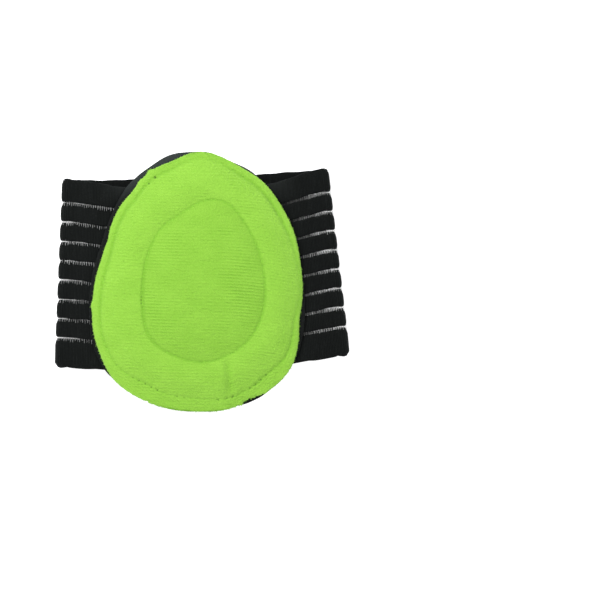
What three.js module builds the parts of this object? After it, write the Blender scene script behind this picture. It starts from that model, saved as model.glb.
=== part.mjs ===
// Arch support sleeve, lying flat with its cushion up, in millimetres and with +Z up.
// A wide striped elastic strip goes round the midfoot. Its two ends are sewn under an egg-shaped pad:
// black cloth below, and above it a foam cushion under a ribbed knit, quilted round a thicker insert.
// The group's origin is on the table, under the middle of the sleeve.
import * as THREE from "three";

// Ribs of the elastic strip, and the thin see-through lines between them
const gapCount = 8;
const gapWidth = 1.3;
const gapThickness = 1;
const gapPitch = 7.75;
const topRibWidth = 9.5; // to the middle of the first line
const bottomRibWidth = 11.25;
const ribThickness = 1.8;
const ribEdgeRound = 0.3;

// Path of the strip
const bandSpan = 113; // from fold to fold, along the middle of the strip
const bandTilt = 2.2; // degrees, from the left fold up to the right one
const bandRise = 17; // from the pad's middle up to the middle of the folds
const bandSide = 0.6; // from the pad's middle to the right
const leftFoldLean = -2.4; // degrees, anticlockwise from the pad's long axis
const rightFoldLean = 6.7;
const foldInnerRadius = 1.2;
const foldCornerRadius = 2.2; // seen from above
const backSag = 1.2; // dip of the lower layer half way between the folds

// Sewn ends of the strip, under the pad
const endSpacing = 32; // bare cloth between the two ends
const endRise = 12; // from the pad's middle up to the middle of each end
const hollowHeight = 6; // inside the loop, under the pad's rim
const frontRiseLength = 12; // from a fold to where the strip meets the height of the pad

// Pad: a knit cover over foam, cut as an egg that leans to the right
const padHalfWidth = 41.8;
const padTopReach = 62.5;
const padBottomReach = 40.1;
const padLean = 3.4; // degrees, clockwise
const topFullness = 2.1; // 2 is an ellipse, and more is squarer
const bottomFullness = 2.3;
const cutWaver = 1.2; // how far the hand-cut edge strays from the egg
const bellyDepth = 1; // how far the pad bulges into the loop
const layerGap = 0.3;

// Rim, plateau and quilted insert, as heights above the cover's underside
const rimHeight = 1.5;
const rimSeamInset = 4.5;
const plateauHeight = 6.4;
const domeHeight = 8.8;
const insertSeamDepth = 0.9;
const insertSideInset = 16.8; // from the pad's edge in to the insert's seam
const insertTopInset = 17.6;
const insertBottomInset = 18.8;
const insertRise = 7.3; // from the pad's middle up to the insert's widest line
const insertSide = 2.8;
const insertTopFullness = 1.8;

// Black backing, a little larger than the cover and turned the other way
const backingThickness = 1;
const backingSideMargin = 1.4;
const backingTopMargin = 0.9;
const backingTurn = 3.8; // degrees, anticlockwise from the cover

// How finely the shapes are faceted
const eggSides = 60;
const foldSteps = 6;
const frontSteps = 5;
const backSteps = 4;

// How the cut edge strays: where, in degrees round the egg, how far, as a share of cutWaver, and over what angle
const cutWaves = [
  { at: 45, out: 0.5, spread: 12 },
  { at: 72, out: -0.9, spread: 9 },
  { at: 91, out: 0.9, spread: 8 },
  { at: 145, out: -0.65, spread: 10 },
  { at: 174, out: 0.5, spread: 10 },
  { at: 301, out: -1, spread: 8 },
  { at: 328, out: 0.65, spread: 9 },
  { at: 356, out: -0.7, spread: 9 },
];

// Rings of the cover's upper side, from the cut edge in to the rim's seam.
// inset is a share of rimSeamInset and height a share of rimHeight.
const rimRings = [
  { inset: 0, height: 0.8 },
  { inset: 0.25, height: 1.05 },
  { inset: 0.8, height: 1 },
  { inset: 1, height: 0.65 },
];

// Rings from the rim's seam in to the insert's seam.
// along is a share of the way, and rise a share of the climb from the seam to the plateau.
const shoulderRings = [
  { along: 0.12, rise: 0.42 },
  { along: 0.32, rise: 0.76 },
  { along: 0.6, rise: 0.94 },
  { along: 0.92, rise: 1 },
];

// Rings from the insert's seam in to its middle, with rise as a share of the climb to the dome.
const domeRings = [
  { inside: 0.08, rise: 0.5 },
  { inside: 0.3, rise: 0.76 },
  { inside: 0.62, rise: 0.93 },
];

const radians = THREE.MathUtils.degToRad;
const smooth = THREE.MathUtils.smoothstep;
const mix = THREE.MathUtils.lerp;

const pad = {
  x: 0,
  y: 0,
  halfWidth: padHalfWidth,
  top: padTopReach,
  bottom: padBottomReach,
  topFullness,
  bottomFullness,
  lean: padLean,
};

const insert = {
  x: insertSide,
  y: insertRise,
  halfWidth: padHalfWidth - insertSideInset,
  top: padTopReach - insertTopInset - insertRise,
  bottom: padBottomReach - insertBottomInset + insertRise,
  topFullness: insertTopFullness,
  bottomFullness,
  lean: padLean,
};

const backing = {
  ...pad,
  halfWidth: padHalfWidth + backingSideMargin,
  top: padTopReach + backingTopMargin,
  lean: padLean - backingTurn,
};

// Size of an egg's superellipse in the direction of (x, y): 1 on its outline, and 0 in its middle.
function eggLevel(egg, x, y) {
  const turned = new THREE.Vector2(x, y).rotateAround(new THREE.Vector2(egg.x, egg.y), radians(egg.lean));
  const across = Math.abs(turned.x - egg.x) / egg.halfWidth;
  const up = turned.y > egg.y;
  const along = Math.abs(turned.y - egg.y) / (up ? egg.top : egg.bottom);
  const fullness = up ? egg.topFullness : egg.bottomFullness;
  return (across ** fullness + along ** fullness) ** (1 / fullness);
}

// A point of an egg's outline, at an angle in degrees anticlockwise from its right side, moved out by a length.
function eggPoint(egg, angle, out = 0) {
  const direction = new THREE.Vector2(1, 0).rotateAround(new THREE.Vector2(), radians(angle - egg.lean));
  const reach = 1 / eggLevel(egg, egg.x + direction.x, egg.y + direction.y);
  return direction.multiplyScalar(reach + out).add(new THREE.Vector2(egg.x, egg.y));
}

function cutEdgeOffset(angle) {
  let offset = 0;
  for (const { at, out, spread } of cutWaves) {
    const away = ((angle - at + 540) % 360) - 180;
    offset += out * cutWaver * Math.exp(-((away / spread) ** 2));
  }
  return offset;
}

// The pad's bulge into the loop under a point: nothing at the rim and bellyDepth under the insert.
const bellyFrom = 0.92;
const bellyFull = 0.5;
function belly(x, y) {
  return bellyDepth * smooth(bellyFrom - eggLevel(pad, x, y), 0, bellyFrom - bellyFull);
}

// Heights of the layers, from the table up; the strip's are of the middle of its thickness.
const bandWidth = topRibWidth + (gapCount - 1) * gapPitch + bottomRibWidth;
const foldRadius = foldInnerRadius + ribThickness / 2;
const foldTop = ribThickness / 2 + 2 * foldRadius;
const sewnHeight = ribThickness + hollowHeight + ribThickness / 2;
const backingHeight = sewnHeight + ribThickness / 2 + layerGap;
const coverHeight = backingHeight + backingThickness + layerGap;

// Joins rings of points with as many points each into a closed solid.
// The first and last rings close on one point each, or across their own width, as a strip's end does.
function loft(rings, close) {
  const positions = rings.flat().flatMap((p) => p.toArray());
  const sides = rings[0].length;
  const faces = [];
  for (let r = 0; r + 1 < rings.length; r++) {
    for (let i = 0; i < sides; i++) {
      const [a, b] = [r * sides + i, r * sides + ((i + 1) % sides)];
      faces.push(a, b, b + sides, a, b + sides, a + sides);
    }
  }
  const last = (rings.length - 1) * sides;
  if (close === "across") {
    for (let i = 0; i + 1 < sides / 2; i++) {
      const [j, k] = [sides - 1 - i, sides - 2 - i];
      faces.push(i, k, i + 1, i, j, k);
      faces.push(last + i, last + i + 1, last + k, last + i, last + k, last + j);
    }
  } else {
    for (const [first, ring] of [[0, rings[0]], [last, rings[rings.length - 1]]]) {
      const middle = ring.reduce((sum, p) => sum.add(p), new THREE.Vector3()).divideScalar(sides);
      const pole = positions.length / 3;
      positions.push(...middle.toArray());
      for (let i = 0; i < sides; i++) {
        const [a, b] = [first + i, first + ((i + 1) % sides)];
        faces.push(...(first === 0 ? [pole, b, a] : [pole, a, b]));
      }
    }
  }
  const geometry = new THREE.BufferGeometry();
  geometry.setAttribute("position", new THREE.Float32BufferAttribute(positions, 3));
  geometry.setIndex(faces);
  geometry.computeVertexNormals();
  return geometry;
}

// Distances across the strip, from its lower edge, with half the thickness there: ribs, and thin lines between them.
function acrossBand() {
  const rib = ribThickness / 2;
  const edge = [
    { share: 0, half: rib - ribEdgeRound },
    { share: 0.12, half: rib },
    { share: 0.45, half: rib },
    { share: 1, half: rib },
  ];
  const stations = edge.map(({ share, half }) => ({ at: share * foldCornerRadius, half }));
  for (let gap = 0; gap < gapCount; gap++) {
    const middle = bottomRibWidth + gap * gapPitch;
    const [inner, outer] = [gapWidth / 2, gapWidth / 2 + ribEdgeRound];
    stations.push({ at: middle - outer, half: rib });
    stations.push({ at: middle - inner, half: gapThickness / 2 });
    stations.push({ at: middle + inner, half: gapThickness / 2 });
    stations.push({ at: middle + outer, half: rib });
  }
  for (const { share, half } of edge.toReversed()) {
    stations.push({ at: bandWidth - share * foldCornerRadius, half });
  }
  return stations;
}

// A line across the strip: its middle, and how far it leans anticlockwise.
function foldLine(side) {
  const tilt = radians(bandTilt);
  return {
    x: bandSide + (side * bandSpan * Math.cos(tilt)) / 2,
    y: bandRise + (side * bandSpan * Math.sin(tilt)) / 2,
    lean: side < 0 ? leftFoldLean : rightFoldLean,
  };
}

function endLine(side) {
  return { x: (side * endSpacing) / 2, y: endRise, lean: 0 };
}

function pointOnLine(line, across) {
  const offset = across - bandWidth / 2;
  return new THREE.Vector2(
    line.x - offset * Math.sin(radians(line.lean)),
    line.y + offset * Math.cos(radians(line.lean)),
  );
}

// How far the rounded corner of the flat strip pulls a fold in.
function cornerPull(across) {
  const inside = Math.min(across, bandWidth - across, foldCornerRadius);
  return foldCornerRadius - Math.sqrt(foldCornerRadius ** 2 - (foldCornerRadius - inside) ** 2);
}

// Middle of the strip's wall on its sewn side: 0 is at the fold and 1 at the sewn end.
function frontPoint(side, along, across) {
  const fold = pointOnLine(foldLine(side), across);
  fold.x -= side * (foldRadius + ribThickness / 2 + cornerPull(across) * (1 - along));
  const plan = fold.clone().lerp(pointOnLine(endLine(side), across), along);
  const climb = smooth(Math.abs(plan.x - fold.x), 0, frontRiseLength);
  return new THREE.Vector3(plan.x, plan.y, mix(foldTop, sewnHeight, climb) - belly(plan.x, plan.y) * climb);
}

// Middle of the wall round a fold: 0 is on the table and 1 on top.
function foldPoint(side, along, across) {
  const plan = pointOnLine(foldLine(side), across);
  const turn = Math.PI * along;
  plan.x -= side * (foldRadius + ribThickness / 2 + cornerPull(across) - foldRadius * Math.sin(turn));
  return new THREE.Vector3(plan.x, plan.y, ribThickness / 2 + foldRadius * (1 - Math.cos(turn)));
}

// Middle of the lower layer, which lies on the table: 0 is at the left fold and 1 at the right one.
function backPoint(along, across) {
  const left = foldPoint(-1, 0, across);
  const plan = left.lerp(foldPoint(1, 0, across), along);
  plan.y -= 4 * backSag * along * (1 - along);
  return plan;
}

// The strip's middle surface, from its left sewn end round under the pad to its right one.
function bandRows() {
  const rows = [];
  for (let i = 0; i < frontSteps; i++) rows.push((t) => frontPoint(-1, 1 - i / frontSteps, t));
  for (let i = 0; i < foldSteps; i++) rows.push((t) => foldPoint(-1, 1 - i / foldSteps, t));
  for (let i = 0; i < backSteps; i++) rows.push((t) => backPoint(i / backSteps, t));
  for (let i = 0; i < foldSteps; i++) rows.push((t) => foldPoint(1, i / foldSteps, t));
  for (let i = 0; i <= frontSteps; i++) rows.push((t) => frontPoint(1, i / frontSteps, t));
  return rows;
}

function elasticBand() {
  const stations = acrossBand();
  const rows = bandRows();
  const middles = rows.map((row) => stations.map(({ at }) => row(at)));
  const rings = middles.map((row, r) => {
    const [before, after] = [middles[Math.max(r - 1, 0)], middles[Math.min(r + 1, rows.length - 1)]];
    const normals = row.map((_, i) => {
      const along = after[i].clone().sub(before[i]);
      const across = row[row.length - 1].clone().sub(row[0]);
      return across.cross(along).normalize();
    });
    const wall = (side) => row.map((p, i) => p.clone().addScaledVector(normals[i], side * stations[i].half));
    return [...wall(1), ...wall(-1).reverse()];
  });
  return loft(rings, "across");
}

// A ring of points round the pad, from a function of the angle.
function ringOf(point) {
  return Array.from({ length: eggSides }, (_, i) => point((360 * i) / eggSides));
}

// A ring of points a share of the way from one outline to another, at the layer's own height.
function layerRing(outline, share, height) {
  return ringOf((angle) => {
    const plan = outline(angle).multiplyScalar(share);
    return new THREE.Vector3(plan.x, plan.y, height - belly(plan.x, plan.y));
  });
}

const layerShares = [0.1, 0.3, 0.5, 0.65, 0.8, 0.92, 1];

function padBacking() {
  const outline = (angle) => eggPoint(backing, angle);
  const under = layerShares.map((share) => layerRing(outline, share, backingHeight));
  const over = layerShares.map((share) => layerRing(outline, share, backingHeight + backingThickness));
  return loft([...under, ...over.reverse()], "poles");
}

function padCover() {
  const edge = (angle) => eggPoint(pad, angle, cutEdgeOffset(angle));
  const seam = (angle) => eggPoint(insert, angle);
  const inwards = (angle) => seam(angle).sub(edge(angle)).normalize();
  const rimSeam = (angle) => edge(angle).addScaledVector(inwards(angle), rimSeamInset);
  const lift = (plan, height) => new THREE.Vector3(plan.x, plan.y, coverHeight + height - belly(plan.x, plan.y));
  const seamFloor = rimHeight * rimRings[rimRings.length - 1].height;
  const quiltFloor = plateauHeight - insertSeamDepth;
  const middle = new THREE.Vector2(insert.x, insert.y);

  const under = layerShares.map((share) => layerRing(edge, share, coverHeight));
  const rim = rimRings.map(({ inset, height }) =>
    ringOf((a) => lift(edge(a).addScaledVector(inwards(a), inset * rimSeamInset), height * rimHeight)),
  );
  const shoulder = shoulderRings.map(({ along, rise }) =>
    ringOf((a) => lift(rimSeam(a).lerp(seam(a), along), mix(seamFloor, plateauHeight, rise))),
  );
  const quilt = ringOf((a) => lift(seam(a), quiltFloor));
  const dome = domeRings.map(({ inside, rise }) =>
    ringOf((a) => lift(seam(a).lerp(middle, inside), mix(quiltFloor, domeHeight, rise))),
  );
  const crown = ringOf((a) => lift(seam(a).lerp(middle, 0.9), domeHeight));
  return loft([...under, ...rim, ...shoulder, quilt, ...dome, crown], "poles");
}

const blackElastic = new THREE.MeshStandardMaterial({ color: 0x1d1f1f, roughness: 0.9, metalness: 0 });
const blackCloth = new THREE.MeshStandardMaterial({ color: 0x26292a, roughness: 0.7, metalness: 0 });
const greenKnit = new THREE.MeshStandardMaterial({ color: 0x9bdc4a, roughness: 0.95, metalness: 0 });

const sleeve = new THREE.Group();
for (const [name, geometry, material] of [
  ["elastic_band", elasticBand(), blackElastic],
  ["pad_backing", padBacking(), blackCloth],
  ["pad_cover", padCover(), greenKnit],
]) {
  const piece = new THREE.Mesh(geometry, material);
  piece.name = name;
  sleeve.add(piece);
}

// Puts the origin under the middle of the sleeve's footprint.
const footprint = new THREE.Box3().setFromObject(sleeve);
const centre = footprint.getCenter(new THREE.Vector3());
sleeve.position.set(-centre.x, -centre.y, -footprint.min.z);

export default sleeve;
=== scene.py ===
import math
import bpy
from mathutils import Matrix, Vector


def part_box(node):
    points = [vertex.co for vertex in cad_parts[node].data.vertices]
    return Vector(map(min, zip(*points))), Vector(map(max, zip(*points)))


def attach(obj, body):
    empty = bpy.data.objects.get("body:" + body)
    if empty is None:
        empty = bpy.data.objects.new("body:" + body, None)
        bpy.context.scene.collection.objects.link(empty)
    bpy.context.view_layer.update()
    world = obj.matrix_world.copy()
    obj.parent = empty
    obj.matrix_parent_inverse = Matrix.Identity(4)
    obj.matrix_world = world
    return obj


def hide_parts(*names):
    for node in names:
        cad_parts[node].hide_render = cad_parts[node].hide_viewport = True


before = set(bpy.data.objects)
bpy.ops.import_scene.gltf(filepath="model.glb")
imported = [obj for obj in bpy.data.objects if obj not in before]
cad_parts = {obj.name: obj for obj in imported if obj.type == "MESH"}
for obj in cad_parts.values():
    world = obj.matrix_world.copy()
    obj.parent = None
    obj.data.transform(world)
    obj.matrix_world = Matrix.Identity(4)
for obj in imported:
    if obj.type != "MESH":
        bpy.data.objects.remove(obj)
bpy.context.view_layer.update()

from types import SimpleNamespace

import bmesh
import bpy
import numpy as np
from mathutils import Vector
from mathutils.bvhtree import BVHTree

bl_info = {
    "name": "Arch support sleeve",
    "version": (1, 0, 0),
    "blender": (4, 5, 0),
    "location": "3D View > Sidebar > Sleeve",
    "description": "Makes a striped elastic sleeve with a quilted foam pad, lying flat with the pad up",
    "category": "Add Mesh",
}

MM = 0.001

# Every length below is in millimetres, in the pad's own frame: its origin is the pad's middle, on the table.
# A place in the row frame is found with in_metres().

STRIP_THICKNESS = 1.8
BACKING_THICKNESS = 1


# Sizes and colours


def length(name, millimetres, description):
    return bpy.props.FloatProperty(
        name=name, description=description, default=millimetres * MM, unit="LENGTH", precision=5
    )


def share(name, value, description):
    return bpy.props.FloatProperty(name=name, description=description, default=value, subtype="FACTOR")


def colour(name, rgb, description):
    return bpy.props.FloatVectorProperty(
        name=name, description=description, default=(*rgb, 1), size=4, min=0, max=1, subtype="COLOR"
    )


class StripSizes(bpy.types.PropertyGroup):
    rib_thickness: length("Rib thickness", STRIP_THICKNESS, "Thickness of a black rib of the strip")
    gap_width: length("Gap width", 1.15, "Width of a see-through line between two ribs")
    step: length("Knit step", 0.32, "Distance between two knit wales along the strip")
    relief: length("Knit relief", 0.1, "Height of the fine upright cords of the knit")
    tooth_reach: length("Tooth reach", 0.72, "How far a rib's teeth reach up into a see-through line")
    tooth_depth: length("Tooth depth", 1.4, "Depth of the notches between those teeth")
    wander: length("Edge wander", 0.14, "How far a rib's edge strays from a straight line")
    thick_thread: length("Thick thread", 0.25, "Diameter of the clear threads that cross a line at a notch")
    thin_thread: length("Thin thread", 0.09, "Diameter of the clear threads between them")
    even_thread: length("Even thread", 0.2, "Diameter of all clear threads to the right of the pad")
    curl: length("Fold curl", 0.45, "How far a rib's edges curl in where the strip is folded")
    black: colour("Elastic", (0.0028, 0.0034, 0.0032), "Colour of the covered elastic")
    # The elastic's lighter black: random fibre tone, with painted light on the cords that stand proud and on
    # the strip where it turns up near the top.
    worn_black: colour("Elastic crowns", (0.0125, 0.0143, 0.0137), "Colour of the cords that stand proud")
    clear: colour("Clear thread", (0.62, 0.63, 0.62), "Colour of the clear threads")


class BackingSizes(bpy.types.PropertyGroup):
    thickness: length("Thickness", BACKING_THICKNESS, "Thickness of the black backing cloth")
    groove: length("Seam groove", 0.3, "Depth of the sewn lines on its inner side")
    puff: length("Puff", 0.14, "How far the cloth stands proud between two sewn lines")
    droop: length("Droop", 1.2, "How far its free upper edge hangs down")
    dark: colour("Cloth", (0.0034, 0.0042, 0.0040), "Colour of the backing cloth")
    light: colour("Cloth, lit threads", (0.0085, 0.0105, 0.0100), "Colour of its smoothest threads")
    # Painted light: the backing's free upper edge is coloured lighter, where light from above falls on it.
    painted_edge_light: colour("Painted edge light", (0.0230, 0.0300, 0.0280), "Colour of its free upper edge")


class CoverSizes(bpy.types.PropertyGroup):
    rim_height: length("Rim height", 1.5, "Height of the flat rim above the cover's underside")
    plateau_height: length("Plateau height", 6.4, "Height of the cushion round the insert")
    dome_height: length("Dome height", 8.8, "Height of the cushion over the insert")
    seam_depth: length("Insert seam depth", 0.45, "Depth of the quilted seam round the insert")
    rib_pitch: length("Rib pitch", 1.24, "Distance between two ribs of the knit")
    rib_relief: length("Rib relief", 0.18, "Height of a rib of the knit")
    pile_relief: length("Pile relief", 0.11, "Roughness of the terry loops")
    # How much darker the knit over the insert is coloured.
    insert_darkening: share("Insert darkening", 0.2, "How much darker the knit over the insert is")
    puff_limit: length("Puff limit", 0.7, "Furthest that the simulated cushion may swell")
    # Painted light and shade: lime is the knit's lit colour, on its loops and rib crowns; leaf is its shaded
    # colour between ribs and in the seams.
    lime: colour("Knit", (0.285, 0.570, 0.061), "Colour of the lit loops")
    leaf: colour("Knit valleys", (0.200, 0.440, 0.036), "Colour between two ribs and in the seams")


class StitchSizes(bpy.types.PropertyGroup):
    rim_pitch: length("Rim stitch", 2.75, "Length of a stitch near the pad's edge")
    insert_pitch: length("Insert stitch", 1.9, "Length of a stitch round the insert")
    hole_depth: length("Hole depth", 0.4, "Depth of the dimple where the needle went in")
    seam_depth: length("Seam depth", 0.36, "Depth of the narrow line between two needle holes")
    hole_width: length("Hole width", 0.5, "Reach of that dimple")
    thread: length("Thread", 0.3, "Diameter of the sewing thread")
    green: colour("Green thread", (0.25, 0.57, 0.045), "Colour of the thread on the knit")
    black: colour("Black thread", (0.012, 0.013, 0.013), "Colour of the thread on the backing")


class StageSizes(bpy.types.PropertyGroup):
    camera_height: bpy.props.FloatProperty(
        name="Camera height", description="Height of the camera over the table", default=3, unit="LENGTH"
    )
    view_width: bpy.props.FloatProperty(
        name="View width", description="Width that the picture takes in", default=0.24, unit="LENGTH"
    )
    key: bpy.props.FloatProperty(
        name="Key light", description="Power of the soft light from the upper left", default=8.6, unit="POWER"
    )
    fill: bpy.props.FloatProperty(
        name="Fill lights", description="Power of the two weaker soft lights", default=6.8, unit="POWER"
    )
    sky: share("Sky", 0.3, "Strength of the even light from all round")
    glow: share("Glow", 0.7, "Strength of the light that comes up through the table")
    table: colour("Table", (0.93, 0.93, 0.93), "Colour of the table")


GROUPS = {
    "sleeve_strip": StripSizes,
    "sleeve_backing": BackingSizes,
    "sleeve_cover": CoverSizes,
    "sleeve_stitches": StitchSizes,
    "sleeve_stage": StageSizes,
}


def sizes(name):
    """A property group's values, with its lengths in millimetres."""
    group = getattr(bpy.context.scene, name)
    values = {}
    for prop in type(group).bl_rna.properties:
        if prop.identifier not in ("rna_type", "name"):
            value = getattr(group, prop.identifier)
            values[prop.identifier] = value / MM if getattr(prop, "unit", "") == "LENGTH" else value
    return SimpleNamespace(**values)


# The pad's outlines: eggs, each with its own reach and fullness above and below its widest line.
# A wave is a bulge or a dent of a line that goes round: at what angle, how far, and over what angle.

PAD = SimpleNamespace(
    x=0, y=0, half_width=41.8, top=62.5, bottom=40.1, top_fullness=2.1, bottom_fullness=2.3, lean=3.4,
    waves=(),
)
BACKING = SimpleNamespace(
    x=0, y=0, half_width=43.2, top=63.4, bottom=40.1, top_fullness=2.1, bottom_fullness=2.3, lean=-0.4,
    waves=(),
)
INSERT = SimpleNamespace(
    x=2.8, y=7.3, half_width=24.5, top=36.5, bottom=28.1, top_fullness=2, bottom_fullness=2, lean=0,
    waves=((77, 1.5, 14), (106, -2.3, 15), (221, 2.4, 22), (290, -0.5, 14)),
)

# The cut edge of the knit and the backing's edge stray from their eggs, and the knit's has small nicks too.
CUT_WAVES = (
    (22, 0.4, 14),
    (42, 0.7, 11),
    (76, -1.2, 8),
    (92, 1.0, 6),
    (103, -0.8, 5.5),
    (122, -0.8, 5),
    (151, -1.1, 12),
    (206, -0.4, 8),
    (225, 0.4, 8),
    (270, 0.5, 25),
    (303, -1.0, 6.5),
    (331, 1.1, 12),
    (358, -0.8, 8),
)
NICKS = (
    (112.2, 0.9, 1.1),
    (117.5, 0.4, 1.8),
    (145, -0.5, 3),
    (181, 0.6, 2.5),
    (244.5, -0.45, 0.7),
    (298.3, 0.6, 1.1),
    (303, -0.35, 2.6),
    (309, -0.25, 2.2),
    (313, 0.2, 1.2),
)
BACKING_WAVES = (
    (78, -1.0, 6),
    (98, 0.35, 6),
    (108, -0.4, 4),
    (142, -1.6, 17),
    (233, -0.8, 14),
    (272, 0.2, 12),
    (299, 0.35, 9),
)

# How far inside the cut edge its row of stitches runs, and how plainly each row shows: usual value and waves
RIM_INSET = 3.1, ((17, -2.1, 25), (90, -0.5, 15), (235, 2.7, 18), (268, 2.2, 24), (321, 2.5, 14))
RIM_SHOWS = 0.8, ((20, -0.5, 22), (55, 0.35, 9), (90, -0.6, 18), (270, -0.25, 14), (315, 0.2, 12))
INSERT_SHOWS = 0.45, ((115, -0.15, 25), (185, 0.75, 35), (295, -0.2, 22), (350, 0.2, 25))

# Dark specks on the knit: x, y, radius and depth
SPECKS = (
    (-22.2, 5.4, 0.3, 1.2),
    (-22.3, 4.1, 0.34, 1.3),
    (-22.2, 2.8, 0.28, 1.0),
    (-29.3, 19.6, 0.45, 0.6),
    (-16.8, 53.1, 0.5, 1.3),
    (-19.2, 50.6, 0.38, 1.1),
    (-21.5, 48.7, 0.32, 0.9),
    (12.5, 54.0, 0.3, 0.5),
    (8.2, 40.6, 0.3, 0.3),
    (16.4, -18.3, 0.3, 0.5),
    (14.4, -34.4, 0.5, 0.9),
    (12.0, -35.2, 0.4, 0.8),
)


def groove(away, width):
    """1 on a line and less away from it, in a bell curve."""
    return np.exp(-((away / width) ** 2))


def turned(degrees, start):
    """How far angles are turned from another one, from -180 to 180."""
    return (degrees - start + 540) % 360 - 180


def waves(table, degrees):
    """Sum of a table's waves at some angles."""
    total = np.zeros_like(degrees, dtype=float)
    for at, out, spread in table:
        total += out * groove(turned(degrees, at), spread)
    return total


def around(line, degrees):
    """A line that goes round, given as its usual value and its waves."""
    usual, table = line
    return usual + waves(table, degrees)


def egg_frame(egg, x, y):
    """x and y from an egg's middle, in its own leaning directions."""
    c, s = math.cos(math.radians(egg.lean)), math.sin(math.radians(egg.lean))
    return (x - egg.x) * c - (y - egg.y) * s, (x - egg.x) * s + (y - egg.y) * c


def egg_radius(egg, angle):
    """Reach of an outline at an angle in radians from its right side, in its own frame."""
    up = np.sin(angle) > 0
    fullness = np.where(up, egg.top_fullness, egg.bottom_fullness)
    across = np.abs(np.cos(angle)) / egg.half_width
    along = np.abs(np.sin(angle)) / np.where(up, egg.top, egg.bottom)
    return (across**fullness + along**fullness) ** (-1 / fullness) + waves(egg.waves, np.degrees(angle))


def egg_level(egg, x, y):
    """0 in an egg's middle and 1 on its outline."""
    u, v = egg_frame(egg, x, y)
    return np.hypot(u, v) / egg_radius(egg, np.arctan2(v, u))


def egg_point(egg, degrees, out=0.0):
    """Points of an egg's outline, at angles in its own frame, moved out by a length."""
    reach = egg_radius(egg, np.radians(degrees)) + out
    turn = np.radians(degrees - egg.lean)
    return np.stack([egg.x + reach * np.cos(turn), egg.y + reach * np.sin(turn)], -1)


def ripple(values, seed, *pitches):
    """A smooth wave of about 1, made of a few sines that never line up."""
    rng = np.random.default_rng(seed)
    total = np.zeros_like(values, dtype=float)
    for pitch in pitches:
        total += np.sin(values * math.tau / pitch + rng.uniform(0, math.tau))
    return total / len(pitches) ** 0.5


def cut_edge(degrees):
    """How far the cut edge of the knit strays from its egg."""
    teeth = 0.5 * groove(degrees - 198, 8) + groove(degrees - 305, 8)
    jitter = ripple(degrees, 5, 1.1, 1.9, 3.7) * (0.07 + 0.15 * teeth)
    return waves(CUT_WAVES, degrees) + waves(NICKS, degrees) + jitter


def smooth(x, low=0.0, high=1.0):
    """0 below one value and 1 above another, with a soft step between."""
    t = np.clip((x - low) / (high - low), 0, 1)
    return t * t * (3 - 2 * t)


def rim_point(degrees):
    """Points of the row of stitches near the cut edge."""
    return egg_point(PAD, degrees, waves(CUT_WAVES, degrees) - around(RIM_INSET, degrees))


def belly(x, y):
    """The pad's bulge into the loop: none at its rim, and 1 mm under its insert."""
    return smooth(0.92 - egg_level(PAD, x, y), 0, 0.42)


def cad_shift():
    """From the pad's own frame to the row frame, in millimetres."""
    corners = egg_point(BACKING, np.arange(0, 360, 6))
    low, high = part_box("pad_backing")
    middle = (np.array(low) + np.array(high))[:2] / 2 / MM
    return np.array([*(middle - (corners.min(0) + corners.max(0)) / 2), 0.0])


SHIFT = cad_shift()


def in_metres(points):
    return (np.asarray(points, dtype=float) + SHIFT) * MM


# The strip: its middle surface, from its left sewn end round under the pad to its right one

GAPS = 8
GAP_PITCH = 7.75
TOP_RIB = 9.5
BOTTOM_RIB = 11.25
STRIP_WIDTH = TOP_RIB + (GAPS - 1) * GAP_PITCH + BOTTOM_RIB
FOLD_RADIUS = 1.2 + STRIP_THICKNESS / 2
FOLD_TOP = STRIP_THICKNESS / 2 + 2 * FOLD_RADIUS
FOLD_CORNER = 1.4
LOWER_CORNER = 2.6
SPAN = 113
SPAN_TILT = math.radians(2.2)
FOLD_LEANS = {-1: math.radians(-2.4), 1: math.radians(6.7)}
SEWN_X = 16
SEWN_Y = 12
SEWN_HEIGHT = 8.7
BACK_SAG = 1.2
FRONT_RISE = 12

LAYER_GAP = 0.3
BACKING_HEIGHT = SEWN_HEIGHT + STRIP_THICKNESS / 2 + LAYER_GAP
COVER_HEIGHT = BACKING_HEIGHT + BACKING_THICKNESS + LAYER_GAP


def line_point(x, y, lean, across):
    """A place across the strip, on a line through a middle place that leans from upright."""
    offset = across - STRIP_WIDTH / 2
    return x - offset * math.sin(lean), y + offset * math.cos(lean)


def fold_line(side, across):
    """A fold's outermost line on one side, -1 for the left and 1 for the right."""
    x = 0.6 + side * SPAN * math.cos(SPAN_TILT) / 2
    y = 17 + side * SPAN * math.sin(SPAN_TILT) / 2
    return line_point(x, y, FOLD_LEANS[side], across)


def corner_pull(across):
    """How far the flattened strip's rounded corners draw a fold in."""
    radius = np.where(across < STRIP_WIDTH / 2, LOWER_CORNER, FOLD_CORNER)
    inside = np.clip(np.minimum(across, STRIP_WIDTH - across), 0, radius)
    return radius - np.sqrt(radius**2 - (radius - inside) ** 2)


def front(side, along, across):
    """The upper layer: 0 is at the fold and 1 at the sewn end."""
    x, y = fold_line(side, across)
    x = x - side * (FOLD_RADIUS + STRIP_THICKNESS / 2 + corner_pull(across) * (1 - along))
    end_x, end_y = line_point(side * SEWN_X, SEWN_Y, 0, across)
    plan_x, plan_y = x + (end_x - x) * along, y + (end_y - y) * along
    # The upper part is pulled down a little towards the pad.
    plan_y = plan_y - (1.5 + 0.2 * side) * smooth(along, 0, 0.6) * across / STRIP_WIDTH
    climb = smooth(np.abs(plan_x - x), 0, FRONT_RISE)
    height = FOLD_TOP + (SEWN_HEIGHT - FOLD_TOP) * climb - belly(plan_x, plan_y) * climb
    return np.stack([plan_x, plan_y, height], -1)


def fold(side, along, across):
    """Round a fold: 0 is on the table and 1 on top."""
    x, y = fold_line(side, across)
    turn = math.pi * along
    x = x - side * (FOLD_RADIUS + STRIP_THICKNESS / 2 + corner_pull(across) - FOLD_RADIUS * np.sin(turn))
    return np.stack([x, y, STRIP_THICKNESS / 2 + FOLD_RADIUS * (1 - np.cos(turn)) + 0 * x], -1)


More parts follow.
